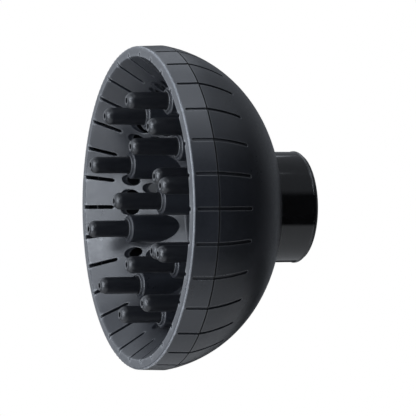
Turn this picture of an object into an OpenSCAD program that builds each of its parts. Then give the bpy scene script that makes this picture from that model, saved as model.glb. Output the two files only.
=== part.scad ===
// Bowl diffuser for a hair dryer: a round bowl with two rings of hollow fingers,
// which turns on a collar that is pushed over the dryer's nozzle.
// Everything is drawn along Z, with the bowl's rim at Z = 0 and depth growing towards the
// collar, and laid along X at the end. The origin is the centre of the ledge inside the
// collar against which the nozzle stops.

/* [Bowl] */
// Outer diameter of the rim
rim_d = 156.4; // [150:0.2:190]
// Width of the rim's flat face and its rounded edge
rim_width = 4.8; // [4.2:0.1:6]
// Depth of the rim's solid part
rim_solid = 3; // [2.6:0.1:4]
// Wall of the skirt behind the rim
skirt_wall = 1.8; // [1.6:0.1:2.4]
// Diameter of the bowl's floor
floor_d = 84.4; // [80:0.2:96]
// Depth of the floor below the rim
floor_depth = 43.3; // [38:0.1:52]
// Thickness of the bowl's wall and floor
bowl_wall = 1.8; // [1.4:0.1:2.4]
// Radius of the rim's outer edge
rim_round = 1.1; // [0.8:0.1:1.8]
// Radius between the bowl's wall and its floor
floor_round = 2.2; // [1.6:0.2:5]
// Angle by which the whole pattern is turned about the axis
clocking = 3.5; // [0:0.5:36]

/* [Outer form] */
// How far the seam between bowl and rear shell stands out past the rim
seam_flare = 0.5; // [0.3:0.1:2]
// Depth of that seam below the rim
seam_depth = 12.5; // [10:0.5:15]
// Depth of the dome's crown below the rim
dome_depth = 64.9; // [62:0.1:80]
// Radius of the dome's curve
dome_curve = 62.4; // [60:0.2:75]
// Width of the shadow gap along the seam
seam_gap = 0.5; // [0.3:0.1:0.8]
// Depth of that gap
seam_gap_depth = 0.8; // [0.5:0.1:1]
// Wall of the rear shell
shell_wall = 2.2; // [1.8:0.1:2.8]
// Length of the shell's tongue inside the bowl's skirt
tongue_length = 5; // [3:0.5:7]
// Wall of that tongue
tongue_wall = 1.3; // [1:0.1:1.6]
// Height of the snap bead on the tongue
snap_bead = 0.3; // [0.2:0.05:0.4]

/* [Slots and grooves] */
// Number of slots inside, and of grooves outside
slot_count = 30; // [20:10:40]
// Width of a slot
slot_w = 1.9; // [1.4:0.1:2.4]
// Length of a slot, measured square to the axis
slot_length = 10.5; // [6:0.5:12]
// Land between the end of a slot and the outside of the rim
slot_land = 3.2; // [2.8:0.1:4]
// Width of a groove
groove_w = 1.6; // [1.2:0.1:2.2]
// Distance of a groove's first end from the rim
groove_start = 2; // [1.8:0.1:4]
// Distance of its other end from the rim
groove_end = 31.8; // [24:0.2:36]
// Depth of a groove
groove_depth = 0.7; // [0.4:0.1:1]

/* [Air holes] */
// Diameter of an air hole
hole_d = 5.6; // [4:0.1:5.8]
// Distance between air holes
hole_pitch = 7.5; // [7.2:0.1:8]
// Radius of the widest row of air holes
hole_ring_r = 59.5; // [58:0.5:60]
// Radius of the outer row of holes in the floor
floor_ring_r = 19.5; // [18:0.5:20]

/* [Fingers] */
// Number of fingers in the outer ring, twice that of the inner ring
outer_count = 10; // [8:2:12]
// Radius of the outer ring of fingers
outer_ring_r = 52; // [50:0.5:53]
// Radius of the inner ring of fingers
inner_ring_r = 30.5; // [28:0.5:32]
// Diameter of a finger
finger_d = 8.4; // [7:0.1:10.2]
// Height of the outer fingers' tips above the rim
outer_tip = 6; // [-2:0.2:8]
// Depth of the inner fingers' tips below the rim
inner_tip = 0.2; // [-2:0.1:4]
// Depth of the outer sockets' tops below the rim
outer_socket_top = 14.9; // [13:0.1:18]
// Depth of the inner sockets' tops below the rim
inner_socket_top = 24.5; // [22:0.1:28]
// Draft of a socket's outside, in degrees
socket_draft = 1; // [0.5:0.25:1.5]
// Wall of a socket
socket_wall = 1.55; // [1.3:0.05:1.7]
// Thickness of a socket's top
socket_top_wall = 1.6; // [1.2:0.1:2.2]
// Height of the raised lip round the finger
lip_height = 0.9; // [0.7:0.1:2]
// Width of that lip
lip_w = 1.2; // [0.9:0.1:1.5]
// Radius of the socket's outer edge
socket_round = 1; // [0.5:0.1:1.2]
// How far the flange at a finger's foot stands out
foot_step = 1.1; // [0.8:0.1:1.6]
// Thickness of that flange
foot_wall = 1.6; // [1.2:0.1:2.4]
// Wall of a finger
finger_wall = 1.5; // [1:0.1:2]
// Diameter of the flat on a finger's tip
tip_flat_d = 4.2; // [3.4:0.1:5]
// Diameter of the hole in that flat
tip_hole_d = 2.2; // [1.4:0.1:2.6]

/* [Collar] */
// Inner diameter of the grip sleeve, which is the nozzle's diameter
nozzle_d = 45; // [40:0.5:56]
// How far the nozzle goes in
nozzle_depth = 19.5; // [14:0.1:24]
// Wall of the grip sleeve
sleeve_wall = 2.2; // [1.6:0.1:3]
// Wall of the collar's barrel
collar_wall = 2.6; // [2:0.1:3.4]
// Length of the collar's barrel outside the shell
collar_out = 20.1; // [16:0.1:26]
// Thickness of the ledge that stops the nozzle
ledge_wall = 1.4; // [1:0.1:2]
// How far the ledge stands inside the sleeve
ledge_step = 0.7; // [0.4:0.1:1.5]
// Height of the bead at the collar's end
bead_height = 0.3; // [0.1:0.1:0.6]
// Length of that bead
bead_length = 1.8; // [1.2:0.1:3]
// Thickness of the sleeve's end flange
sleeve_flange = 0.9; // [0.6:0.1:1.4]

/* [Swivel] */
// Step from the barrel down to the journal that turns in the shell
journal_step = 0.85; // [0.6:0.05:1]
// Length of the shell's throat on the journal
throat_length = 4.2; // [3.5:0.1:5]
// How deep the barrel's shoulder sits in the shell
shoulder_sunk = 0.7; // [0.4:0.1:1]
// Thickness of the snap ring that holds the collar in
snap_ring_wall = 1.8; // [1.4:0.1:2.4]
// How far the snap ring stands out of the journal
snap_ring_step = 4.4; // [3:0.1:5]
// Depth of the groove that the snap ring sits in
snap_groove = 0.7; // [0.4:0.1:0.9]
// Open angle of the snap ring
snap_ring_gap = 30; // [20:1:60]
// How far the throat's inner face reaches beyond the snap ring
throat_land = 1.5; // [1:0.1:2.5]
// Length of the journal beyond the snap ring
journal_end = 1; // [0.8:0.1:2]
// Width of the raised lip round the throat
throat_lip = 2.2; // [1.6:0.1:3]

/* [Fits] */
// Radial running clearance of the journal in the throat
running_fit = 0.08; // [0.05:0.01:0.1]
// End play of the swivel at each face
end_play = 0.3; // [0.2:0.05:0.5]
// Radial clearance of pieces that are pushed together
push_fit = 0.1; // [0.05:0.01:0.2]
// Radial gap between the barrel and the throat's lip
lip_gap = 0.3; // [0.2:0.05:0.5]

/* [Hidden] */
$fn = 96;
over = 1;             // how far a cutting shape stands past what it cuts

shell_colour = "#3a3c40";
bowl_colour = "#44464a";
finger_colour = "#2a2c30";
gloss_colour = "#151518";
rubber_colour = "#1e1e1e";

rim_r = rim_d / 2;
mouth_r = rim_r - rim_width;
skirt_r = rim_r - skirt_wall;
floor_r = floor_d / 2;
seam_r = rim_r + seam_flare;
inner_count = outer_count / 2;
sector = 360 / outer_count;

// The wall of the bowl is a cone. Its back runs parallel, bowl_wall away.
wall_run = mouth_r - floor_r;
wall_angle = atan2(floor_depth, wall_run);
wall_r = bowl_wall / sin(wall_angle);
function wall_front_r(z) = mouth_r - z * wall_run / floor_depth;
function wall_back_r(z) = wall_front_r(z) + wall_r;
floor_back = floor_depth + bowl_wall;

// Centre of the dome's curve, from its crown and the seam.
dome_centre_z = dome_depth - dome_curve;
dome_centre_r = seam_r - sqrt(pow(dome_curve, 2) - pow(dome_centre_z - seam_depth, 2));
function dome_z(r) = dome_centre_z + sqrt(pow(dome_curve, 2) - pow(max(r - dome_centre_r, 0), 2));

slot_out_r = rim_r - slot_land;
slot_in_r = slot_out_r - slot_length;

// From a finger outwards: its foot's flange, the bore that takes it and the socket's wall.
finger_r = finger_d / 2;
finger_hole_r = finger_r + push_fit;
foot_r = finger_r + foot_step;
socket_bore_r = foot_r + push_fit;
socket_r = socket_bore_r + socket_wall;

// From the nozzle outwards: the sleeve, the barrel and the shell's throat.
sleeve_r = nozzle_d / 2 + sleeve_wall;
barrel_r = sleeve_r + collar_wall;
journal_r = barrel_r - journal_step;
throat_r = journal_r + running_fit;
throat_out_r = barrel_r + lip_gap + throat_lip;
shoulder_z = dome_z(barrel_r) + throat_lip / 2 - shoulder_sunk + end_play;
throat_top = shoulder_z - end_play;
throat_rim = throat_top + shoulder_sunk;
throat_inside = throat_top - throat_length;
snap_ring_z = throat_inside - end_play - snap_ring_wall;
journal_z = snap_ring_z - journal_end;
collar_end = throat_rim + collar_out - sleeve_flange;
socket_mouth = collar_end + sleeve_flange;
seat_z = socket_mouth - nozzle_depth;
ledge_r = nozzle_d / 2 - ledge_step;

// ---- Shapes that several pieces share ----

// Lays the drawing along X, with the nozzle's seat at the origin.
module along_x() {
    rotate([90, 0, 90]) translate([0, 0, -seat_z]) children();
}

// A bar with round ends from x0 to x1.
module rounded_bar(x0, x1, w) {
    translate([x0 + w / 2, -w / 2]) square([x1 - x0 - w, w]);
    for (x = [x0 + w / 2, x1 - w / 2]) translate([x, 0]) circle(d = w);
}

// The dome behind the seam, drawn in by inset: a round edge and a flat crown.
module dome_area(inset) {
    intersection() {
        union() {
            translate([dome_centre_r, dome_centre_z]) circle(r = dome_curve - inset, $fn = 180);
            square([dome_centre_r, dome_depth - inset]);
        }
        translate([0, seam_depth]) square([rim_d, dome_depth]);
    }
}

// The outside of bowl and shell, drawn in by inset.
module outer_form(inset) {
    polygon([[0, -over], [rim_r - inset, -over], [rim_r - inset, 0],
             [seam_r - inset, seam_depth], [0, seam_depth]]);
    dome_area(inset);
}

// The grooves that run over the seam, as one cutting shape.
module grooves() {
    difference() {
        for (i = [0 : slot_count - 1])
            rotate([0, 0, clocking + (i + 0.5) * 360 / slot_count])
                translate([rim_r - 3 * shell_wall - 2 * over, 0, 0])
                    rotate([0, 90, 0]) mirror([1, 0, 0]) linear_extrude(4 * shell_wall + 4 * over)
                        rounded_bar(groove_start, groove_end, groove_w);
        rotate_extrude() outer_form(groove_depth);
    }
}

// Puts its children on each place of the outer or the inner ring of fingers.
module on_outer_ring() {
    for (i = [0 : outer_count - 1]) at_outer(i) children();
}
module on_inner_ring() {
    for (i = [0 : inner_count - 1]) at_inner(i) children();
}
module at_outer(i) {
    rotate([0, 0, clocking + (i + 0.5) * sector]) translate([outer_ring_r, 0, outer_socket_top]) children();
}
module at_inner(i) {
    rotate([0, 0, clocking + 2 * i * sector]) translate([inner_ring_r, 0, inner_socket_top]) children();
}

// ---- Bowl ----

module bowl_section() {
    bend = 90 - wall_angle / 2;
    reach = floor_round / tan(bend);
    round_centre = [floor_r - reach, floor_depth - floor_round];
    difference() {
        union() {
            polygon([[0, 0], [rim_r - rim_round, 0], [rim_r, rim_round],
                     [seam_r, seam_depth], [skirt_r, seam_depth], [skirt_r, rim_solid],
                     [wall_back_r(rim_solid), rim_solid], [wall_back_r(floor_back), floor_back],
                     [0, floor_back]]);
            translate([rim_r - rim_round, rim_round]) circle(r = rim_round);
        }
        polygon([[0, -over], [wall_front_r(-over), -over],
                 [floor_r + reach * cos(wall_angle), floor_depth - reach * sin(wall_angle)],
                 [floor_r - reach, floor_depth], [0, floor_depth]]);
        translate(round_centre) circle(r = floor_round);
        translate([skirt_r, seam_depth - tongue_length / 2]) circle(r = snap_bead + push_fit);
    }
}

// One socket from its top down, without its bore.
module socket_section(length) {
    polygon([[0, 0], [socket_r - socket_round, 0], [socket_r, socket_round],
             [socket_r + (length - socket_round) * tan(socket_draft), length], [0, length]]);
    translate([socket_r - socket_round, socket_round]) circle(r = socket_round);
    translate([0, lip_w / 2 - lip_height]) square([finger_hole_r + lip_w, lip_height]);
    translate([finger_hole_r + lip_w / 2, lip_w / 2 - lip_height]) circle(d = lip_w);
}

module sockets() {
    intersection() {
        union() {
            on_outer_ring() rotate_extrude() socket_section(floor_back - outer_socket_top);
            on_inner_ring() rotate_extrude() socket_section(floor_back - inner_socket_top);
        }
        rotate_extrude() polygon([[0, -over], [wall_back_r(-over), -over],
                                  [wall_back_r(floor_back), floor_back], [0, floor_back]]);
    }
}

module socket_bores(length) {
    translate([0, 0, socket_top_wall]) cylinder(r = socket_bore_r, h = length);
    translate([0, 0, -lip_height - over]) cylinder(r = finger_hole_r, h = length);
}

// Air holes in the wall between two outer sockets: rows of three, two and one.
module wall_holes() {
    row = hole_pitch * sqrt(3) / 2;
    for (s = [0 : outer_count - 1], k = [0 : 2], j = [0 : 2 - k]) {
        r = hole_ring_r - k * row;
        rotate([0, 0, clocking + s * sector + (j - (2 - k) / 2) * hole_pitch * 180 / (PI * r)])
            translate([r, 0, 0]) cylinder(d = hole_d, h = floor_back + over);
    }
}

// Air holes in the floor: one, five, ten, and one between each two inner sockets.
module floor_holes() {
    cylinder(d = hole_d, h = floor_back + over);
    for (i = [0 : inner_count - 1]) rotate([0, 0, clocking + (2 * i + 1) * sector]) {
        for (r = [floor_ring_r / 2, inner_ring_r]) translate([r, 0, 0]) cylinder(d = hole_d, h = floor_back + over);
        for (a = [-sector / 2, sector / 2])
            rotate([0, 0, a]) translate([floor_ring_r, 0, 0]) cylinder(d = hole_d, h = floor_back + over);
    }
}

module wall_slots() {
    for (i = [0 : slot_count - 1])
        rotate([0, 0, clocking + (i + 0.5) * 360 / slot_count]) translate([0, 0, -over])
            linear_extrude(floor_depth) rounded_bar(slot_in_r, slot_out_r, slot_w);
}

module front_bowl() color(bowl_colour) along_x() difference() {
    union() {
        rotate_extrude($fn = 180) bowl_section();
        sockets();
    }
    on_outer_ring() socket_bores(floor_depth);
    on_inner_ring() socket_bores(floor_depth);
    wall_holes();
    floor_holes();
    wall_slots();
    grooves();
}

// ---- Rear shell ----

module shell_section() {
    tongue_r = skirt_r - push_fit;
    difference() {
        union() {
            difference() {
                dome_area(0);
                outer_form(shell_wall);
                translate([seam_r - seam_gap_depth, 0]) square([rim_r, seam_depth + seam_gap]);
            }
            translate([tongue_r - tongue_wall, seam_depth - tongue_length])
                square([tongue_wall, tongue_length + shell_wall / 4]);
            intersection() {
                dome_area(shell_wall / 2);
                translate([tongue_r - tongue_wall, 0]) square([rim_d, dome_depth]);
            }
            translate([tongue_r, seam_depth - tongue_length / 2]) circle(r = snap_bead);
            translate([throat_r, throat_inside])
                square([snap_ring_step + throat_land, throat_top - throat_inside - shell_wall]);
            translate([throat_r, throat_inside])
                square([throat_out_r - throat_r - throat_lip / 2, throat_rim - throat_inside]);
            translate([throat_out_r - throat_lip / 2, throat_rim - throat_lip / 2]) circle(d = throat_lip);
        }
        translate([0, throat_inside - dome_depth]) square([throat_r, 2 * dome_depth]);
        translate([0, throat_top]) square([barrel_r + lip_gap, dome_depth]);
    }
}

module rear_shell() color(shell_colour) along_x() difference() {
    rotate_extrude($fn = 180) shell_section();
    grooves();
}

// ---- Collar, its snap ring and its grip sleeve ----

module collar_section() {
    groove_r = journal_r - snap_groove;
    journal_bore_r = ledge_r + 2 * ledge_step;
    difference() {
        union() {
            translate([0, journal_z]) square([journal_r, collar_end - journal_z]);
            translate([0, shoulder_z]) square([barrel_r, collar_end - bead_length / 2 - shoulder_z]);
            translate([0, collar_end - bead_length / 2])
                square([barrel_r + bead_height - bead_length / 2, bead_length / 2]);
            translate([barrel_r + bead_height - bead_length / 2, collar_end - bead_length / 2])
                circle(d = bead_length);
        }
        translate([0, journal_z - over]) square([ledge_r, collar_end - journal_z + 2 * over]);
        translate([0, journal_z - over]) square([journal_bore_r, seat_z - ledge_wall - journal_z + over]);
        translate([0, seat_z]) square([sleeve_r, collar_end - seat_z + over]);
        translate([groove_r, snap_ring_z]) square([snap_ring_step, snap_ring_wall]);
    }
}

module collar() color(gloss_colour) along_x() rotate_extrude($fn = 128) collar_section();

module snap_ring() color(rubber_colour) along_x() rotate([0, 0, snap_ring_gap / 2])
    rotate_extrude(angle = 360 - snap_ring_gap, $fn = 128)
        translate([journal_r - snap_groove + push_fit, snap_ring_z])
            square([snap_groove + snap_ring_step - push_fit, snap_ring_wall]);

module grip_sleeve() color(rubber_colour) along_x() rotate_extrude($fn = 128) {
    translate([nozzle_d / 2, seat_z]) square([sleeve_r - nozzle_d / 2, nozzle_depth]);
    translate([nozzle_d / 2, collar_end]) square([barrel_r - nozzle_d / 2 - bead_length / 2, sleeve_flange]);
}

// ---- Fingers ----

// A hollow finger from its flat tip, reach above the socket's top, to the flange under that top.
module finger_section(reach) {
    foot = socket_top_wall + foot_wall;
    tip_centre = sqrt(pow(finger_r, 2) - pow(tip_flat_d / 2, 2)) - reach;
    difference() {
        union() {
            translate([0, tip_centre]) square([finger_r, foot - tip_centre]);
            intersection() {
                translate([0, tip_centre]) circle(r = finger_r);
                translate([0, -reach]) square([finger_r, reach]);
            }
            translate([0, socket_top_wall]) square([foot_r, foot_wall]);
        }
        translate([0, tip_centre]) square([finger_r - finger_wall, reach + foot]);
        translate([0, -reach - over]) square([tip_hole_d / 2, reach + over]);
    }
}

module finger(reach) color(finger_colour) rotate_extrude() finger_section(reach);

module outer_finger(i) along_x() at_outer(i) finger(outer_socket_top + outer_tip);
module inner_finger(i) along_x() at_inner(i) finger(inner_socket_top - inner_tip);

front_bowl();
rear_shell();
collar();
snap_ring();
grip_sleeve();
outer_finger(0);  // outer_finger_01
outer_finger(1);  // outer_finger_02
outer_finger(2);  // outer_finger_03
outer_finger(3);  // outer_finger_04
outer_finger(4);  // outer_finger_05
outer_finger(5);  // outer_finger_06
outer_finger(6);  // outer_finger_07
outer_finger(7);  // outer_finger_08
outer_finger(8);  // outer_finger_09
outer_finger(9);  // outer_finger_10
inner_finger(0);  // inner_finger_01
inner_finger(1);  // inner_finger_02
inner_finger(2);  // inner_finger_03
inner_finger(3);  // inner_finger_04
inner_finger(4);  // inner_finger_05
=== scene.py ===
# %% [markdown]
# # A bowl diffuser for a hair dryer
#
# The object is a black plastic bowl with two rings of hollow fingers. A domed shell closes its back, and a
# short polished collar pushes over the dryer's nozzle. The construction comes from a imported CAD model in
# which every moulding is a node of its own. This lesson turns those mouldings into something that looks
# like moulded plastic: it gives each surface its finish, makes the fingers again with softer tips, and
# lights the whole like a catalogue picture.

# %% Load the frame
import math

import bmesh
import bpy
from mathutils import Matrix, Quaternion, Vector


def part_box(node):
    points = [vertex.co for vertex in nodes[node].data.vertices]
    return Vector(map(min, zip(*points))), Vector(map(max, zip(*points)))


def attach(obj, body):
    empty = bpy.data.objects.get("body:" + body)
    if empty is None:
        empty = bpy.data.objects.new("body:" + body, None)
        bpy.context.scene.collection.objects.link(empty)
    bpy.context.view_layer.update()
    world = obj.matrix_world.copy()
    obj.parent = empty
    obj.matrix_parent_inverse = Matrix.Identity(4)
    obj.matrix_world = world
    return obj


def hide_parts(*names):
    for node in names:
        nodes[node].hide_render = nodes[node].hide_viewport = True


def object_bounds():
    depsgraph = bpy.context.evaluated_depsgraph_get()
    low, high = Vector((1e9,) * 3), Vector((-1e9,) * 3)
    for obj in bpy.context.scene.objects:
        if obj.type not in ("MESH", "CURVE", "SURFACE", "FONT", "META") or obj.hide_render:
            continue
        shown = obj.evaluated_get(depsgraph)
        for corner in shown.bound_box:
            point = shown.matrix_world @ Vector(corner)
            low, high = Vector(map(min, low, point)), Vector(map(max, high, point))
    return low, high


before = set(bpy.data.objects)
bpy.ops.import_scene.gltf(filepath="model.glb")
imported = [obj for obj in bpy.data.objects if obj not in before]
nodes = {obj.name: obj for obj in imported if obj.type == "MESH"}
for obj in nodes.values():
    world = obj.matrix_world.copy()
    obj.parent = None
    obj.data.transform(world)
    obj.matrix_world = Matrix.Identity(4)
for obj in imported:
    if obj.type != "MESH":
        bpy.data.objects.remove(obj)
cad_low, cad_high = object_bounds()
scene = bpy.context.scene
scene.view_settings.view_transform = "Standard"
mm = 0.001
print("CAD box, mm:", [round(v / mm, 1) for v in (*cad_low, *cad_high)])

# %% [markdown]
# ## Where things are
#
# The model lies along X: the bowl's mouth faces -X and the collar points to +X. The places below are read
# from the CAD nodes' boxes, so the lesson still fits when the drawing changes. The rim's plane is the
# lowest X of the front bowl, and the axis runs through the origin.

# %% Read the places
bowl_low, bowl_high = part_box("front_bowl")
rim_x = bowl_low.x
rim_radius = (bowl_high.z - bowl_low.z) / 2
rim_centre = Vector((rim_x, 0, 0))
middle = Vector(((cad_low.x + cad_high.x) / 2, 0, 0))
print("rim at X", round(rim_x / mm, 2), "mm, radius", round(rim_radius / mm, 2), "mm")

# %% [markdown]
# ## Camera
#
# A long lens from far away keeps the bowl's circles calm and hardly lets the near side look bigger than
# the far side. The camera stands a little in front of the mouth, almost square to the axis, and looks down
# by less than three degrees. It is built from a direction and a distance, then turned a little in its own
# frame, because that is easier to read than six numbers for a place and a rotation.

# %% Make the camera
view_azimuth = math.radians(-20.13)
view_elevation = math.radians(2.82)
view_distance = 1.3175
camera_roll = math.radians(0.66)
camera_pan = math.radians(1.544)
sensor_width = 36
focal_length = 235.8

away = Vector((
    math.sin(view_azimuth) * math.cos(view_elevation),
    -math.cos(view_azimuth) * math.cos(view_elevation),
    math.sin(view_elevation),
))
camera_data = bpy.data.cameras.new("camera")
camera_data.sensor_width = sensor_width
camera_data.lens = focal_length
camera = bpy.data.objects.new("camera", camera_data)
camera.location = rim_centre + away * view_distance
camera.rotation_mode = "QUATERNION"
camera.rotation_quaternion = (
    away.to_track_quat("Z", "Y")
    @ Quaternion((0, 0, 1), camera_roll)
    @ Quaternion((0, 1, 0), -camera_pan)
)
scene.collection.objects.link(camera)
scene.camera = camera
print("camera at", [round(v, 3) for v in camera.location])

# %% [markdown]
# ## Helpers for node trees
#
# Shader and geometry trees are both built from nodes and links. One helper adds a node and fills its
# inputs, so that a tree reads from top to bottom like a recipe: what a node is, what goes in, and what
# comes out.

# %% Add a node
def add_node(tree, kind, settings=None, **inputs):
    """Adds a node. settings are its own properties; inputs are values or sockets, by name or as i0, i1."""
    node = tree.nodes.new(kind)
    for key, value in (settings or {}).items():
        setattr(node, key, value)
    for key, value in inputs.items():
        name = key.replace("_", " ")
        socket = node.inputs[int(key[1:])] if key[1:].isdigit() else node.inputs[name]
        if isinstance(value, bpy.types.NodeSocket):
            tree.links.new(value, socket)
        else:
            socket.default_value = value
    return node


# %% [markdown]
# The other helpers stand on that one: a step of arithmetic, a ramp that stretches one span of values to
# another, two masks that go softly from 0 to 1, a mix of two colours, and a colour made lighter or darker.
# Their names then say what a tree does, where the bare nodes would only say how.

# %% Arithmetic, ramps, masks and mixes
def math_node(tree, operation, a, b=0.0):
    """One step of arithmetic on two values or sockets."""
    return add_node(tree, "ShaderNodeMath", {"operation": operation}, i0=a, i1=b).outputs[0]


def ramp(tree, value, low, high, to_low=0.0, to_high=1.0):
    """Stretches value from the span low..high to the span to_low..to_high, without going past it."""
    node = add_node(tree, "ShaderNodeMapRange", i0=value, i1=low, i2=high, i3=to_low, i4=to_high)
    return node.outputs[0]


def above(tree, value, place, blur):
    """A mask: 1 where value is past place and 0 before it, blended over blur on either side."""
    return ramp(tree, value, place - blur, place + blur)


def below(tree, value, place, blur):
    """The opposite mask: 1 before place and 0 past it."""
    return ramp(tree, value, place + blur, place - blur)


def mix_colour(tree, factor, first, second, blend="MIX"):
    """Mixes two colours or sockets; factor 0 shows the first."""
    settings = {"data_type": "RGBA", "blend_type": blend}
    return add_node(tree, "ShaderNodeMix", settings, i0=factor, i6=first, i7=second).outputs[2]


def shade(colour, factor):
    """A colour made lighter or darker, with the alpha that a socket wants."""
    return [factor * v for v in colour] + [1]


# %% [markdown]
# Grain and worn edges appear on more than one plastic. Each becomes a node group: a small tree with named
# inputs and outputs that is built once and then placed in every material with that material's own values.

# %% Make and use a node group
def new_group(name, kind, inputs, outputs):
    """A node group with named sockets; each input is (name, type, default)."""
    group = bpy.data.node_groups.new(name, kind)
    for label, socket_type, default in inputs:
        socket = group.interface.new_socket(label, in_out="INPUT", socket_type=socket_type)
        if default is not None:
            socket.default_value = default
    for label, socket_type in outputs:
        group.interface.new_socket(label, in_out="OUTPUT", socket_type=socket_type)
    return group


def use_group(tree, group, **inputs):
    """Places a shader group in a material's tree and sets its inputs."""
    return add_node(tree, "ShaderNodeGroup", {"node_tree": group}, **inputs)


# %% [markdown]
# ## The grain of moulded plastic
#
# The steel moulds of such a bowl are eroded by sparks, and the plastic copies that fine, even grain. It
# could be a picture or a displacement, but a picture would need unwrapping and a displacement would need
# millions of faces. Noise on Object coordinates needs neither, and it stays at its real size on every
# piece. The group gives a height for a Bump node, a fine mottle and a slow cloudiness that stands for
# uneven cooling, and a mask of the few pale specks of dust that lie on any black plastic. Noise keeps to
# the middle of its span, so the mottle and the clouds are stretched to reach from 0 to 1.

# %% Shader group: grain
mottle_share = 0.45      # how fine the mottle and the specks are, as a share of the grain's fineness
speck_share = 0.25
noise_low = 0.3
noise_high = 0.7
speck_radius = 0.055     # as a share of one cell of the Voronoi pattern
speck_blur = 0.015


def make_grain_group():
    group = new_group(
        "moulded_grain",
        "ShaderNodeTree",
        [("Grain Size", "NodeSocketFloat", 0.4 * mm), ("Cloud Size", "NodeSocketFloat", 20 * mm)],
        [
            ("Height", "NodeSocketFloat"), ("Mottle", "NodeSocketFloat"),
            ("Cloud", "NodeSocketFloat"), ("Speck", "NodeSocketFloat"),
        ],
    )
    start = group.nodes.new("NodeGroupInput")
    end = group.nodes.new("NodeGroupOutput")
    place = group.nodes.new("ShaderNodeTexCoord").outputs["Object"]

    fine_scale = math_node(group, "DIVIDE", 1.0, start.outputs["Grain Size"])
    mottle_scale = math_node(group, "MULTIPLY", fine_scale, mottle_share)
    cloud_scale = math_node(group, "DIVIDE", 1.0, start.outputs["Cloud Size"])
    speck_scale = math_node(group, "MULTIPLY", fine_scale, speck_share)
    fine = add_node(group, "ShaderNodeTexNoise", Vector=place, Scale=fine_scale, Detail=2.0, Roughness=0.6)
    mottle = add_node(group, "ShaderNodeTexNoise", Vector=place, Scale=mottle_scale, Detail=2.0)
    cloud = add_node(group, "ShaderNodeTexNoise", Vector=place, Scale=cloud_scale, Detail=3.0)
    speck = add_node(group, "ShaderNodeTexVoronoi", Vector=place, Scale=speck_scale).outputs["Distance"]

    group.links.new(fine.outputs[0], end.inputs["Height"])
    group.links.new(ramp(group, mottle.outputs[0], noise_low, noise_high), end.inputs["Mottle"])
    group.links.new(ramp(group, cloud.outputs[0], noise_low, noise_high), end.inputs["Cloud"])
    group.links.new(below(group, speck, speck_radius, speck_blur), end.inputs["Speck"])
    return group


grain_group = make_grain_group()
print("group", grain_group.name, "has", len(grain_group.nodes), "nodes")

# %% [markdown]
# ## Edges and corners
#
# No moulded edge is sharp: a few tenths of a millimetre of radius catch the light as a thin pale line
# along every slot and groove. Bevelling a drilled bowl with thirty grooves as a mesh tends to tear it. The
# Bevel shader node looks for edges nearby while it shades, and turns the normal as a real radius would.
#
# Two Ambient Occlusion nodes find out what kind of edge it is. Looking into the material, rays soon come
# out again only near an outer edge: there the plastic is made greyer, partly as wear from fingers and
# towels and partly as a painted highlight. Looking outwards, rays are soon stopped only in a corner, where
# the plastic is darkened to deep black as painted shade.
# Each gives the share of rays that got through, and a ramp turns that share into a mask.

# %% Shader group: edges
edge_reach = 1.6         # how far the pale band of wear and painted highlight reaches, in edge radii
flat_openness = 0.92     # shares of free rays: on a flat face and on an edge, looking inwards
edge_openness = 0.55
open_openness = 0.85     # and in the open and deep in a corner, looking outwards
corner_openness = 0.40


def make_edge_group():
    group = new_group(
        "edges_and_corners",
        "ShaderNodeTree",
        [("Radius", "NodeSocketFloat", 0.4 * mm), ("Corner Reach", "NodeSocketFloat", 2 * mm)],
        [("Normal", "NodeSocketVector"), ("Edge", "NodeSocketFloat"), ("Corner", "NodeSocketFloat")],
    )
    start = group.nodes.new("NodeGroupInput")
    end = group.nodes.new("NodeGroupOutput")
    bevel = add_node(group, "ShaderNodeBevel", {"samples": 6}, Radius=start.outputs["Radius"])
    inward = add_node(
        group, "ShaderNodeAmbientOcclusion", {"samples": 8, "inside": True, "only_local": True},
        Distance=math_node(group, "MULTIPLY", start.outputs["Radius"], edge_reach),
    )
    outward = add_node(
        group, "ShaderNodeAmbientOcclusion", {"samples": 8}, Distance=start.outputs["Corner Reach"]
    )
    edge = ramp(group, inward.outputs["AO"], flat_openness, edge_openness)
    hollow = ramp(group, outward.outputs["AO"], open_openness, corner_openness)
    group.links.new(bevel.outputs[0], end.inputs["Normal"])
    group.links.new(edge, end.inputs["Edge"])
    group.links.new(hollow, end.inputs["Corner"])
    return group


edge_group = make_edge_group()
print("group", edge_group.name, "has", len(edge_group.nodes), "nodes")

# %% [markdown]
# ## The rim's painted highlight and the seam's painted shade
#
# Two places on the bowl look different from the rest. The rim's outer edge is rounder than the other edges
# and carries a pale line, which is a painted highlight, and the seam between bowl and dome is a dark line
# of painted shade. They could be separate faces with materials of their own, but the border would then
# follow the triangles of the CAD mesh. Masks made from the distance along the axis and the distance from
# it follow the real circles instead. Each mask goes from 0 to 1 over a few tenths of a millimetre, so no
# border is hard.

# %% Masks for the rim and the seam
lip_depth = 1.2 * mm             # how far behind the rim's plane its rounding reaches
lip_width = 7.5 * mm             # takes in the rim's flat face, counted in from the widest radius
line_width = 1.05 * mm           # the painted highlight along the rim's outer edge, counted in the same way
seam_x = rim_x + 12.75 * mm
seam_half_width = 0.4 * mm
seam_skin = 1.25 * mm            # how far in from the widest radius the seam is dark


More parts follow.
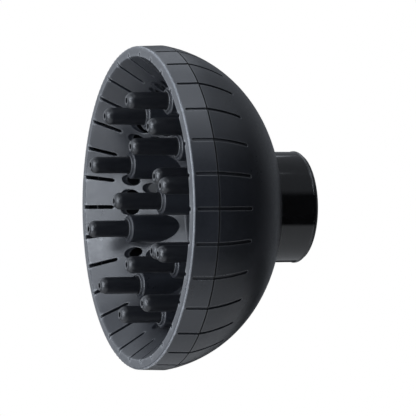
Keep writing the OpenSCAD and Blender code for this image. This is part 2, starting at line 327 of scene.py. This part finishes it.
def rim_and_seam(tree):
    """Masks of the rim's face, of the painted highlight on its outer edge, and of the seam's painted shade.
    """
    place = tree.nodes.new("ShaderNodeTexCoord").outputs["Object"]
    along = add_node(tree, "ShaderNodeSeparateXYZ", Vector=place).outputs["X"]
    flat = add_node(tree, "ShaderNodeVectorMath", {"operation": "MULTIPLY"}, i0=place, i1=(0, 1, 1))
    length = add_node(tree, "ShaderNodeVectorMath", {"operation": "LENGTH"}, i0=flat.outputs[0])
    across = length.outputs["Value"]

    near_plane = below(tree, along, rim_x + lip_depth, 0.4 * mm)
    on_face = above(tree, across, rim_radius - lip_width, 0.5 * mm)
    lip = math_node(tree, "MULTIPLY", near_plane, on_face)
    # The pale line on the rim's outer edge is a painted highlight.
    line = math_node(tree, "MULTIPLY", lip, above(tree, across, rim_radius - line_width, 0.35 * mm))

    # The seam's mask places a dark line of painted shade.
    off_seam = math_node(tree, "ABSOLUTE", math_node(tree, "SUBTRACT", along, seam_x))
    near_seam = below(tree, off_seam, seam_half_width, 0.1 * mm)
    on_skin = above(tree, across, rim_radius - seam_skin, 0.15 * mm)
    return lip, line, math_node(tree, "MULTIPLY", near_seam, on_skin)


print("seam", round((seam_x - rim_x) / mm, 2), "mm behind the rim")

# %% [markdown]
# ## Plastic, its colour
#
# All the mouldings are the same kind of thing, so the same few functions make their materials. Colour is
# mixed in layers: cloudy plastic first, then its mottle, the pale edges, which are partly wear and partly
# painted highlight, the black corners and seam, which are painted shade, and at last the dust. One flat
# colour would look like a toy.

# %% Layers of colour
cloud_contrast = 0.1
wear_and_highlight_tint = (0.92, 0.95, 1.0)    # the cool grey of rubbed edges, which also colours their painted highlight
# Pale edges are partly wear and partly painted highlight; the rim's pale line is painted highlight.
edge_wear_and_highlight_tone = 0.15
line_highlight_tone = 0.8
painted_shade_tone = 0.1                # what is left of the colour in the painted shade of corners and the seam
dust_colour = (0.22, 0.22, 0.22, 1)
white = (1, 1, 1)


def plastic_colour(tree, colour, mottle, texture, line, wear_and_highlight, hidden, dust):
    """The colour socket of one plastic; the masks say where it has the painted highlight line, pale edges
    of wear and painted highlight, painted shade and dust.
    """
    low, high = shade(colour, 1 - cloud_contrast), shade(colour, 1 + cloud_contrast)
    cloudy = mix_colour(tree, texture.outputs["Cloud"], low, high)
    tone = mix_colour(tree, texture.outputs["Mottle"], shade(white, 1 - mottle), shade(white, 1 + mottle))
    plastic = mix_colour(tree, 1.0, cloudy, tone, "MULTIPLY")
    # Pale edges, partly wear and partly painted highlight, and the rim's line of painted highlight.
    pale = mix_colour(tree, line, shade(wear_and_highlight_tint, edge_wear_and_highlight_tone), shade(wear_and_highlight_tint, line_highlight_tone))
    worn_and_highlit = mix_colour(tree, wear_and_highlight, plastic, pale)
    # Painted shade in corners and in the seam.
    deep = mix_colour(tree, hidden, worn_and_highlit, shade(colour, painted_shade_tone))
    return mix_colour(tree, math_node(tree, "MULTIPLY", texture.outputs["Speck"], dust), deep, dust_colour)


# %% [markdown]
# ## Plastic, its gloss
#
# Gloss tells plastics apart more than colour does. Roughness drifts with the clouds, trembles with the
# mottle, drops where an edge is polished and rises in corners, where no cloth reaches. The four parts are
# simply added.

# %% Layers of roughness
mottle_gloss = 0.15              # each is a share of the plastic's own roughness
edge_polish = 0.45
line_polish = 0.9
corner_dullness = 0.3            # added as it is


def plastic_roughness(tree, roughness, cloud, texture, line, wear_and_highlight, hidden):
    """The roughness socket of one plastic, from its plain roughness and the same masks."""
    drift = ramp(tree, texture.outputs["Cloud"], 0, 1, roughness - cloud, roughness + cloud)
    swing = mottle_gloss * roughness
    fine = ramp(tree, texture.outputs["Mottle"], 0, 1, -swing, swing)
    depth = ramp(tree, line, 0, 1, -edge_polish * roughness, -line_polish * roughness)
    polish = math_node(tree, "MULTIPLY", wear_and_highlight, depth)
    dull = math_node(tree, "MULTIPLY", hidden, corner_dullness)
    grown = math_node(tree, "ADD", drift, fine)
    return math_node(tree, "ADD", grown, math_node(tree, "ADD", polish, dull))


# %% [markdown]
# ## One material from all of it
#
# Each call gives a plastic its own values: the colour, how rough the tool was, how deep and how wide the
# grain is, and how far the edges are rounded. The masks are worked out once and feed both the colour and
# the roughness, so that an edge is pale, from wear and painted highlight, and glossy in the same place.
# One index of refraction serves them all, because plastics and rubber differ little in it.

# %% Material: moulded plastic
plastic_ior = 1.58
lip_radius = 1.1 * mm            # the rim's edge is rounder than the others and carries the painted highlight
# how strongly the rim's face is paled, as painted highlight more than wear
lip_wear_and_highlight = 0.9
seam_radius_share = 0.1          # hardly any rounding in the seam, or the Bevel node would blur it


def make_plastic(
    name, colour, roughness, grain_depth, grain_size, edge_radius,
    cloud=0.04, mottle=0.12, edge_wear_and_highlight=0.3, corner=0.5, dust=0.0,
):
    """A material; corner says how strongly corners are darkened as painted shade, and dust how strongly
    specks show.
    """
    material = bpy.data.materials.new(name)
    material.use_nodes = True
    tree = material.node_tree
    shader = tree.nodes["Principled BSDF"]
    texture = use_group(tree, grain_group, Grain_Size=grain_size)
    lip, line, in_seam = rim_and_seam(tree)
    clear = math_node(tree, "SUBTRACT", 1.0, in_seam)
    radius = ramp(tree, lip, 0, 1, edge_radius, lip_radius)
    radius = math_node(tree, "MULTIPLY", radius, ramp(tree, clear, 0, 1, seam_radius_share, 1))
    edges = use_group(tree, edge_group, Radius=radius)

    # Pale edges: partly wear, partly painted highlight; on the rim's face mostly painted highlight.
    amount = math_node(tree, "MULTIPLY", ramp(tree, lip, 0, 1, edge_wear_and_highlight, lip_wear_and_highlight), clear)
    wear_and_highlight = math_node(tree, "MULTIPLY", edges.outputs["Edge"], amount)
    # Painted shade in corners and in the seam.
    corner_painted_shade = math_node(tree, "MULTIPLY", edges.outputs["Corner"], corner)
    hidden = math_node(tree, "MAXIMUM", corner_painted_shade, in_seam)
    base = plastic_colour(tree, colour, mottle, texture, line, wear_and_highlight, hidden, dust)
    rough = plastic_roughness(tree, roughness, cloud, texture, line, wear_and_highlight, hidden)
    bump = add_node(
        tree, "ShaderNodeBump", Strength=1.0, Distance=grain_depth,
        Height=texture.outputs["Height"], Normal=edges.outputs["Normal"],
    )
    tree.links.new(base, shader.inputs["Base Color"])
    tree.links.new(rough, shader.inputs["Roughness"])
    tree.links.new(bump.outputs[0], shader.inputs["Normal"])
    shader.inputs["IOR"].default_value = plastic_ior
    return material


# %% [markdown]
# ## Six finishes
#
# The bowl and the dome come from spark-eroded tools, and the dome is a shade darker, as two batches of
# plastic seldom match. The fingers are satin, so that hair slides over them, and the collar is polished
# like the dryer that it pushes onto. The snap ring is plain nylon, and the sleeve inside the collar is matt
# rubber, because it has to grip.

# %% Make the finishes
bowl_finish = make_plastic(
    "spark_eroded_bowl", (0.0125, 0.0140, 0.0180), roughness=0.35,
    grain_depth=0.009 * mm, grain_size=0.5 * mm, edge_radius=0.45 * mm,
    mottle=0.14, corner=0.1, dust=0.3,
)
shell_finish = make_plastic(
    "spark_eroded_shell", (0.0115, 0.0128, 0.0165), roughness=0.35,
    grain_depth=0.009 * mm, grain_size=0.5 * mm, edge_radius=0.45 * mm,
    mottle=0.14, corner=0.1, dust=0.3,
)
finger_finish = make_plastic(
    "satin_fingers", (0.0065, 0.0072, 0.0095), roughness=0.37,
    grain_depth=0.001 * mm, grain_size=0.5 * mm, edge_radius=0.15 * mm,
    mottle=0.06, edge_wear_and_highlight=0.5, corner=1.0,
)
collar_finish = make_plastic(
    "polished_collar", (0.004, 0.004, 0.0045), roughness=0.09,
    grain_depth=0.0005 * mm, grain_size=2.0 * mm, edge_radius=0.3 * mm, cloud=0.02,
)
ring_finish = make_plastic(
    "snap_ring_nylon", (0.030, 0.030, 0.030), roughness=0.55,
    grain_depth=0.01 * mm, grain_size=0.5 * mm, edge_radius=0.2 * mm,
)
sleeve_finish = make_plastic(
    "matt_rubber", (0.016, 0.016, 0.016), roughness=0.72,
    grain_depth=0.02 * mm, grain_size=0.4 * mm, edge_radius=0.3 * mm,
)
print(len(bpy.data.materials), "materials")

# %% [markdown]
# The CAD nodes keep their meshes and only get their material. The fingers' nodes get the satin finish too,
# although the next cells make those pieces again.

# %% Put the finishes on the nodes
node_finishes = {
    "front_bowl": bowl_finish,
    "rear_shell": shell_finish,
    "collar": collar_finish,
    "snap_ring": ring_finish,
    "grip_sleeve": sleeve_finish,
}
for node_name, node_object in nodes.items():
    node_object.data.materials.clear()
    node_object.data.materials.append(node_finishes.get(node_name, finger_finish))
print("finishes on", len(nodes), "nodes")

# %% [markdown]
# ## One finger
#
# A finger is a hollow tube with a round nose. The very tip is cut flat and has a small hole for the air,
# and a flange at the foot holds the tube behind the socket's lip. It is turned from a profile: a list of
# places along the axis with a radius for each, spun once round the X axis. Spinning is better than a
# cylinder primitive here, because every small round of the tool can simply be drawn into the profile. The
# distances along the axis are counted from the tip.

# %% Sizes of a finger
foot_step = 1.1 * mm
foot_length = 1.6 * mm
finger_wall = 1.5 * mm
tip_flat = 2.2 * mm              # radius of the flat disc at the tip
tip_hole = 1.3 * mm              # radius of the air hole in it
tool_round = 0.18 * mm           # the small round on every edge
tip_turn = 1.5                   # degrees of the nose's arc that the round at the tip takes up

outer_low, outer_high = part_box("outer_finger_01")
foot_radius = (outer_high.y - outer_low.y) / 2
print("finger", round(2 * (foot_radius - foot_step) / mm, 2), "mm across")


# %% [markdown]
# The profile is written as straight stretches between arcs. It starts inside the nose at the air hole, goes
# out through the hole, over the nose and along the outside to the flange, and comes back up the bore.

# %% Profile of a finger
def arc(centre, radius, first, last, steps):
    """Points (x, r) on an arc of a profile; angles in degrees, 0 along +X and 90 away from the axis."""
    points = []
    for i in range(steps + 1):
        angle = math.radians(first + (last - first) * i / steps)
        points.append((centre[0] + radius * math.cos(angle), centre[1] + radius * math.sin(angle)))
    return points


def finger_profile(length):
    """The closed outline of a finger, from the tip's hole round the outside and back up the bore."""
    radius = foot_radius - foot_step
    bore = radius - finger_wall
    flange = length - foot_length
    nose = math.sqrt(radius**2 - tip_flat**2)
    flat_angle = math.degrees(math.atan2(tip_flat, -nose))
    hole_angle = 180 - math.degrees(math.asin(tip_hole / bore))
    outline = [(nose - bore, tip_hole), (tool_round, tip_hole)]
    outline += arc((tool_round, tip_hole + tool_round), tool_round, 270, 180, 4)
    outline += [(0, tip_flat - tool_round), (0.25 * tool_round, tip_flat - 0.2 * tool_round)]
    outline += arc((nose, 0), radius, flat_angle - tip_turn, 90, 16)
    outline += [(flange, radius), (flange, foot_radius - tool_round), (flange + tool_round, foot_radius)]
    outline += [(length - tool_round, foot_radius), (length, foot_radius - tool_round), (length, bore)]
    outline += arc((nose, 0), bore, 90, hole_angle, 6)
    return outline


# %% [markdown]
# ## Spin the profile
#
# The profile's points are copied round the axis and joined by faces. Neighbours that meet at more than
# thirty degrees keep a crisp edge, and all others are shaded as one smooth surface. That is what makes
# the flat tip read as a little disc with a ring of light round it.

# %% Spin a profile
crisp_angle = math.radians(30)


def spin_profile(name, outline, sides):
    """A closed mesh: the outline, given as (x, r) points, spun round the X axis."""
    mesh = bpy.data.meshes.new(name)
    build = bmesh.new()
    rings = []
    for i in range(sides):
        angle = 2 * math.pi * i / sides
        rings.append([build.verts.new((x, r * math.cos(angle), r * math.sin(angle))) for x, r in outline])
    count = len(outline)
    for i in range(sides):
        here, there = rings[i], rings[(i + 1) % sides]
        for j in range(count):
            k = (j + 1) % count
            build.faces.new((here[j], here[k], there[k], there[j]))
    bmesh.ops.recalc_face_normals(build, faces=build.faces)
    for face in build.faces:
        face.smooth = True
    build.to_mesh(mesh)
    build.free()
    mesh.set_sharp_from_angle(angle=crisp_angle)
    return mesh


# %% [markdown]
# ## A ring of fingers
#
# Ten fingers stand on the outer ring and five on the inner one, all at even steps. A loop could copy the
# mesh, but a Geometry Nodes tree says the rule itself: points on a circle, one finger on each. Its inputs
# are the count, the ring's radius, the angle of the first finger and the place of the tips, so one tree
# serves both rings. It ends in Realize Instances, because an exporter drops instances, and in Set
# Material.

# %% Geometry Nodes: a ring of fingers
def make_ring_tree(name, material):
    tree = new_group(
        name,
        "GeometryNodeTree",
        [
            ("Finger", "NodeSocketGeometry", None),
            ("Count", "NodeSocketInt", 10),
            ("Ring Radius", "NodeSocketFloat", 50 * mm),
            ("First Angle", "NodeSocketFloat", 0.0),
            ("Tip Place", "NodeSocketFloat", 0.0),
        ],
        [("Fingers", "NodeSocketGeometry")],
    )
    start = tree.nodes.new("NodeGroupInput")
    end = tree.nodes.new("NodeGroupOutput")
    turn = math_node(tree, "DIVIDE", math.tau, start.outputs["Count"])
    index = tree.nodes.new("GeometryNodeInputIndex").outputs[0]
    angle = math_node(tree, "ADD", math_node(tree, "MULTIPLY", index, turn), start.outputs["First Angle"])
    across = math_node(tree, "MULTIPLY", math_node(tree, "COSINE", angle), start.outputs["Ring Radius"])
    up = math_node(tree, "MULTIPLY", math_node(tree, "SINE", angle), start.outputs["Ring Radius"])
    place = add_node(tree, "ShaderNodeCombineXYZ", X=start.outputs["Tip Place"], Y=across, Z=up)
    spin = add_node(tree, "ShaderNodeCombineXYZ", X=angle)
    points = add_node(tree, "GeometryNodePoints", Count=start.outputs["Count"], Position=place.outputs[0])
    copies = add_node(
        tree, "GeometryNodeInstanceOnPoints",
        Points=points.outputs[0], Instance=start.outputs["Finger"], Rotation=spin.outputs[0],
    )
    real = add_node(tree, "GeometryNodeRealizeInstances", Geometry=copies.outputs[0])
    finish = add_node(tree, "GeometryNodeSetMaterial", Geometry=real.outputs[0], Material=material)
    tree.links.new(finish.outputs[0], end.inputs[0])
    return tree


ring_tree = make_ring_tree("finger_ring", finger_finish)
print("tree", ring_tree.name, "has", len(ring_tree.nodes), "nodes")

# %% [markdown]
# The modifier's inputs are set before the object is first evaluated, by each socket's identifier, since
# two sockets may share a name. The result is then kept as a plain mesh, and the modifier goes away with
# the object that carried it.

# %% Run a tree and keep the result
def run_tree(name, mesh, tree, settings):
    """Runs a Geometry Nodes tree on a mesh and returns a new object that holds the plain result."""
    carrier = bpy.data.objects.new(name + "_start", mesh)
    scene.collection.objects.link(carrier)
    modifier = carrier.modifiers.new("tree", "NODES")
    modifier.node_group = tree
    sockets = {item.name: item.identifier for item in tree.interface.items_tree if item.in_out == "INPUT"}
    for label, value in settings.items():
        modifier[sockets[label]] = value
    result = bpy.data.meshes.new_from_object(carrier.evaluated_get(bpy.context.evaluated_depsgraph_get()))
    result.name = name
    bpy.data.objects.remove(carrier)
    piece = bpy.data.objects.new(name, result)
    scene.collection.objects.link(piece)
    return piece


# %% [markdown]
# Each ring takes its length, its radius and its first angle from the box of its first CAD finger. Then the
# ring is hung on the bowl's body, and the CAD nodes that it replaces are hidden.

# %% Make both rings
finger_sides = 48


def finger_ring(name, stem, count):
    """One ring of fingers, in the places of the CAD nodes stem_01, stem_02 and so on."""
    low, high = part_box(stem + "_01")
    centre = (low + high) / 2
    mesh = spin_profile(name + "_one", finger_profile(high.x - low.x), finger_sides)
    settings = {
        "Count": count,
        "Ring Radius": math.hypot(centre.y, centre.z),
        "First Angle": math.atan2(centre.z, centre.y),
        "Tip Place": low.x,
    }
    return run_tree(name, mesh, ring_tree, settings)


for ring_name, stem, count in (("outer_fingers", "outer_finger", 10), ("inner_fingers", "inner_finger", 5)):
    piece = finger_ring(ring_name, stem, count)
    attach(piece, "bowl_unit")
    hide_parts(*[f"{stem}_{i + 1:02d}" for i in range(count)])
    print(piece.name, len(piece.data.polygons), "faces")

# %% [markdown]
# ## A studio of paper and cloth
#
# A black object shows little but reflections, so the studio is drawn as what the plastic sees. The camera
# sees only white. The plastic sees bright paper behind it on the mouth's side, which is what makes the
# rim's flat face pale, and dimmer paper behind the collar and overhead. Behind the camera hangs black
# cloth: it makes the middle of the bowl's band and of the collar nearly black. The Light Path node keeps
# the two apart, and a ramp on the direction draws each sheet with a soft border. Polished metal or glass
# would need the white background in its reflections too, but there is none on this object.

# %% World
lamp_colour = (0.85, 0.91, 1.0)
mouth_paper = 1.2                # brightness of each sheet; 1 is white
collar_paper = 0.23
ceiling_paper = 0.28
cloth = 0.02
backdrop_fade = (0.0, 0.5)       # along Y, from the cloth to the paper behind the object
side_fade = (-0.25, 0.20)        # along X, from the mouth's paper to the collar's
ceiling_fade = (0.40, 0.56)      # along Z


def make_world():
    world = bpy.data.worlds.new("paper_studio")
    world.use_nodes = True
    tree = world.node_tree
    tree.nodes.clear()
    end = tree.nodes.new("ShaderNodeOutputWorld")
    path = tree.nodes.new("ShaderNodeLightPath")
    place = tree.nodes.new("ShaderNodeTexCoord").outputs["Generated"]
    toward = add_node(tree, "ShaderNodeSeparateXYZ", Vector=place)
    behind = ramp(tree, toward.outputs["Y"], *backdrop_fade)
    side = ramp(tree, toward.outputs["X"], *side_fade, mouth_paper, collar_paper)
    sheet = math_node(tree, "MULTIPLY", behind, side)
    over = ramp(tree, toward.outputs["Z"], *ceiling_fade, 0, ceiling_paper)
    paper = math_node(tree, "MAXIMUM", math_node(tree, "MAXIMUM", sheet, over), cloth)
    seen = math_node(tree, "MAXIMUM", path.outputs["Is Camera Ray"], path.outputs["Is Transmission Ray"])
    strength = add_node(tree, "ShaderNodeMix", {"data_type": "FLOAT"}, i0=seen, i2=paper, i3=1.0)
    tint = mix_colour(tree, seen, [*lamp_colour, 1], (1, 1, 1, 1))
    background = add_node(tree, "ShaderNodeBackground", Color=tint, Strength=strength.outputs[0])
    tree.links.new(background.outputs[0], end.inputs[0])
    scene.world = world


make_world()
print("world", scene.world.name)

# %% [markdown]
# ## Soft boxes
#
# Soft boxes do the rest. The large ones stand in front of the mouth and light the far inner wall, and
# smaller ones above and below draw the bright ends of the band. Those hang close to the rim, where the
# band mirrors them and the collar doesn't. Each is an area lamp given by a direction from the middle of
# the object, a distance, the length of its side and a brightness. Brightness 1 is as bright as white
# paper, and the lamp's power in watts follows from it and the area.

# %% Lamps
soft_boxes = {
    "mouth_box": ((-0.91, -0.33, 0.26), 1.2, 0.42, 8.0),
    "mouth_middle_box": ((-0.90, -0.42, -0.05), 1.2, 0.42, 8.0),
    "mouth_high_box": ((-0.75, -0.46, 0.49), 1.2, 0.42, 8.0),
    "mouth_far_box": ((-0.77, 0.0, 0.64), 1.2, 0.50, 4.2),
    "mouth_near_box": ((-0.81, -0.50, -0.31), 1.1, 0.42, 5.5),
    "mouth_low_box": ((-0.77, 0.0, -0.64), 0.62, 0.22, 3.0),
    "top_box": ((0.04, -0.50, 0.87), 1.2, 0.62, 1.6),
    "overhead_near_box": ((0.156, -0.22, 0.963), 0.364, 0.16, 1.6),
    "overhead_box": ((0.156, 0.22, 0.963), 0.364, 0.16, 0.9),
    "overhead_far_box": ((0.23, 0.566, 0.792), 0.442, 0.18, 0.8),
    "low_box": ((0.21, -0.37, -0.91), 0.42, 0.15, 0.42),
    "collar_box": ((0.64, 0.0, 0.77), 1.2, 0.55, 0.2),
}


def soft_box(name, direction, distance, side, brightness):
    """A square lamp that looks at the middle of the object."""
    data = bpy.data.lights.new(name, "AREA")
    data.shape = "SQUARE"
    data.size = side
    data.energy = brightness * math.pi * side**2
    data.color = lamp_colour
    lamp = bpy.data.objects.new(name, data)
    heading = Vector(direction).normalized()
    lamp.location = middle + heading * distance
    lamp.rotation_mode = "QUATERNION"
    lamp.rotation_quaternion = heading.to_track_quat("Z", "Y")
    lamp.visible_camera = False
    scene.collection.objects.link(lamp)


for box_name, values in soft_boxes.items():
    soft_box(box_name, *values)
print(len(soft_boxes), "soft boxes")

# %% [markdown]
# ## Floor
#
# The floor is white paper, well below the object and out of the picture. It is a real surface, so it takes
# the object's soft shadow, and a little light of its own makes it as white as the backdrop wherever the
# lamps reach it. In reflections the paper ends less than a metre from the object: further out it is dark,
# as if the studio's black cloth lay there, so that the bowl's lower half doesn't turn grey.

# %% Floor
floor_drop = 0.45
floor_radius = 1.6
mirrored_radius = 0.86           # from the origin to the border of the paper that is mirrored
mirrored_blur = 0.06
mirrored_paper = 0.85            # how much of its whiteness reflections show inside that border
paper_low = (0.84, 0.82, 0.79, 1)
paper_high = (0.90, 0.88, 0.85, 1)
fibre_scale = 400.0
paper_glow = 0.45
black = (0, 0, 0, 1)


def make_paper():
    """White paper that glows a little for the camera, and that reflections show only near the object."""
    material = bpy.data.materials.new("white_paper")
    material.use_nodes = True
    tree = material.node_tree
    shader = tree.nodes["Principled BSDF"]
    path = tree.nodes.new("ShaderNodeLightPath")
    place = tree.nodes.new("ShaderNodeTexCoord").outputs["Object"]
    off_centre = add_node(tree, "ShaderNodeVectorMath", {"operation": "LENGTH"}, Vector=place)
    near, far = mirrored_radius - mirrored_blur, mirrored_radius + mirrored_blur
    dim = ramp(tree, off_centre.outputs["Value"], near, far, 1 - mirrored_paper, 1)
    hidden = math_node(tree, "MULTIPLY", path.outputs["Is Glossy Ray"], dim)
    fibre = add_node(tree, "ShaderNodeTexNoise", Vector=place, Scale=fibre_scale, Detail=3.0)
    tone = mix_colour(tree, fibre.outputs[0], paper_low, paper_high)
    glow = math_node(tree, "MULTIPLY", path.outputs["Is Camera Ray"], paper_glow)
    tree.links.new(mix_colour(tree, hidden, tone, black), shader.inputs["Base Color"])
    tree.links.new(glow, shader.inputs["Emission Color"])
    shader.inputs["Emission Strength"].default_value = 1.0
    shader.inputs["Roughness"].default_value = 0.9
    return material


def make_floor():
    mesh = bpy.data.meshes.new("paper_floor")
    build = bmesh.new()
    bmesh.ops.create_circle(build, cap_ends=True, radius=floor_radius, segments=96)
    build.to_mesh(mesh)
    build.free()
    mesh.transform(Matrix.Translation((0, 0, -floor_drop)))
    mesh.materials.append(make_paper())
    floor = bpy.data.objects.new("paper_floor", mesh)
    scene.collection.objects.link(floor)


make_floor()
print("floor at Z", -floor_drop, "m")
